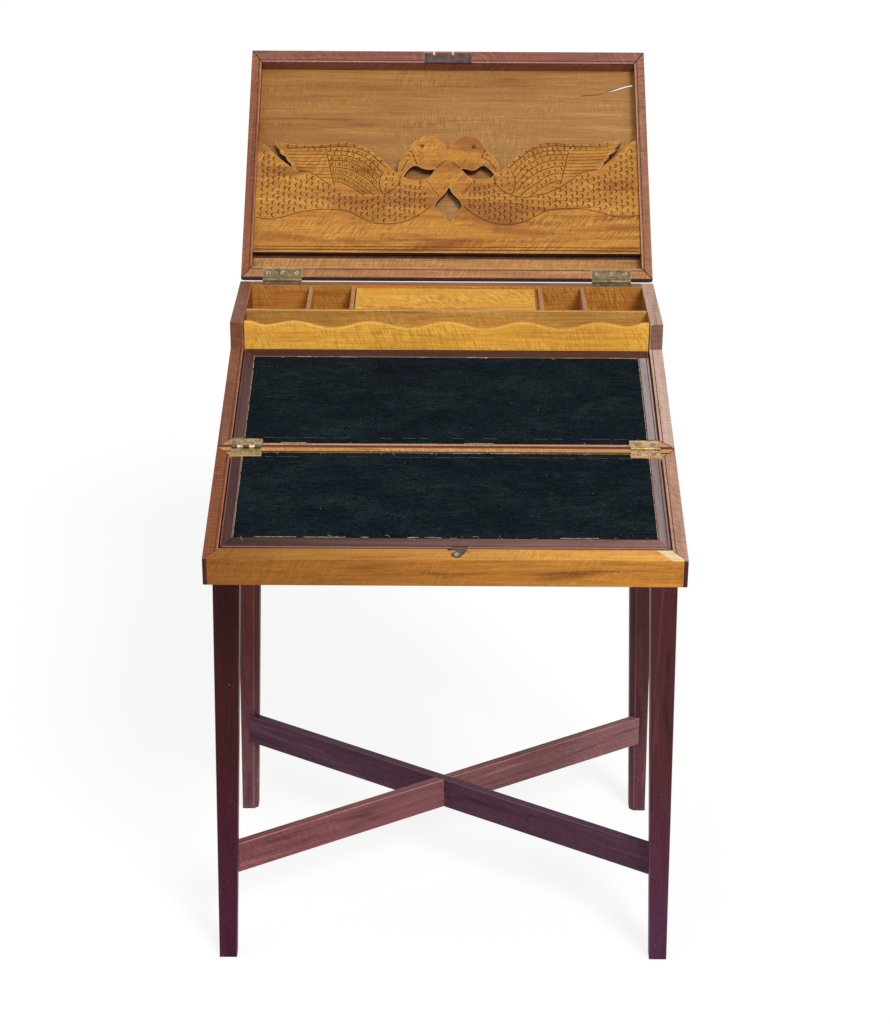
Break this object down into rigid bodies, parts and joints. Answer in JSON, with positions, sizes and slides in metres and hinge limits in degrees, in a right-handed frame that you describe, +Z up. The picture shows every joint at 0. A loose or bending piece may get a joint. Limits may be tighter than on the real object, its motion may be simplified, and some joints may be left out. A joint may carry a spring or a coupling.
{
  "type": "lap desk",
  "caption": "Folding writing-box lap desk, shown open on a cross-stretcher stand: hinged lid with letter rack, pen tray, sloping baize flaps over storage wells, lock and flap catch.",
  "frame": {"origin": "on the floor, under the middle of the whole object's plan box with the lid open", "axes": "+Z up, +X to the user's right, +Y from the user towards the lid"},
  "size_m": [0.5376, 0.8104, 0.959],
  "materials": {
    "satinwood": "waxed",
    "edge_wood": "waxed",
    "mahogany": "waxed",
    "dark_border": "waxed",
    "baize": "napped",
    "brass": "aged",
    "steel": "plain"
  },
  "bodies": {
    "desk": {"cover_ledges": "satinwood", "fold_hinge_pins": "brass", "fold_hinge_rear_leaves": "brass", "fold_hinge_rear_screws": "brass", "leg_front_left": "mahogany", "leg_front_right": "mahogany", "leg_rear_left": "mahogany", "leg_rear_right": "mahogany", "lid_hinge_box_leaves": "brass", "lid_hinge_box_screws": "brass", "lid_hinge_pins": "brass", "rear_back": "satinwood", "rear_base": "satinwood", "rear_cloth_strip": "baize", "rear_hinge_wall": "satinwood", "rear_ledgers": "satinwood", "rear_side_left": "edge_wood", "rear_side_right": "edge_wood", "stand_rail_front": "mahogany", "stand_rail_left": "mahogany", "stand_rail_rear": "mahogany", "stand_rail_right": "mahogany", "stand_screws": "steel", "stretcher_one": "mahogany", "stretcher_two": "mahogany", "tray_dividers": "satinwood", "tray_floor": "satinwood", "tray_front": "satinwood", "tray_partition": "satinwood", "trough_floor": "satinwood"},
    "lid": {"letter_rack": "satinwood", "lid_hinge_lid_leaves": "brass", "lid_lock_plate": "brass", "lid_panel": "satinwood", "lid_rim_front": "edge_wood", "lid_rim_left": "edge_wood", "lid_rim_rear": "edge_wood", "lid_rim_right": "edge_wood", "lid_screws": "brass", "rack_spacers": "satinwood"},
    "front": {"escutcheon": "brass", "fold_hinge_front_leaves": "brass", "front_bottom": "satinwood", "front_cloth_strip": "baize", "front_hinge_wall": "satinwood", "front_ledgers": "satinwood", "front_rail": "satinwood", "front_screws": "brass", "front_side_left": "edge_wood", "front_side_right": "edge_wood", "lock_case": "brass"},
    "upper_flap": {"upper_flap_baize": "baize", "upper_flap_borders": "dark_border", "upper_flap_panel": "satinwood"},
    "lower_flap": {"lower_flap_baize": "baize", "lower_flap_borders": "dark_border", "lower_flap_panel": "satinwood"},
    "pen_cover": {"pen_cover": "satinwood"},
    "lock_bolt": {"lock_bolt": "brass"},
    "flap_catch": {"flap_catch": "brass"}
  },
  "joints": [
    {"name": "lid_hinge", "type": "hinge", "parent": "desk", "child": "lid", "pos_m": [0, 0.12683, 0.73742], "axis": [1, 0, 0], "range_deg": [0, 140]},
    {"name": "front_fold", "type": "hinge", "parent": "desk", "child": "front", "pos_m": [0, -0.21631, 0.66058], "axis": [-1, 0, 0], "range_deg": [0, 180]},
    {"name": "upper_flap_crease", "type": "hinge", "parent": "desk", "child": "upper_flap", "pos_m": [0, -0.20004, 0.66393], "axis": [-1, 0, 0], "range_deg": [-92, 0]},
    {"name": "lower_flap_crease", "type": "hinge", "parent": "front", "child": "lower_flap", "pos_m": [0, -0.2323, 0.65607], "axis": [1, 0, 0], "range_deg": [-92, 0]},
    {"name": "cover_lift", "type": "slide", "parent": "desk", "child": "pen_cover", "axis": [0, 0, -1], "range_m": [-0.06, 0]},
    {"name": "bolt_slide", "type": "slide", "parent": "front", "child": "lock_bolt", "axis": [1, 0, 0], "range_m": [0, 0.005]},
    {"name": "catch_turn", "type": "hinge", "parent": "front", "child": "flap_catch", "pos_m": [0.0115, -0.39592, 0.61625], "axis": [0, -0.2365, 0.9716], "range_deg": [0, 55]}
  ]
}
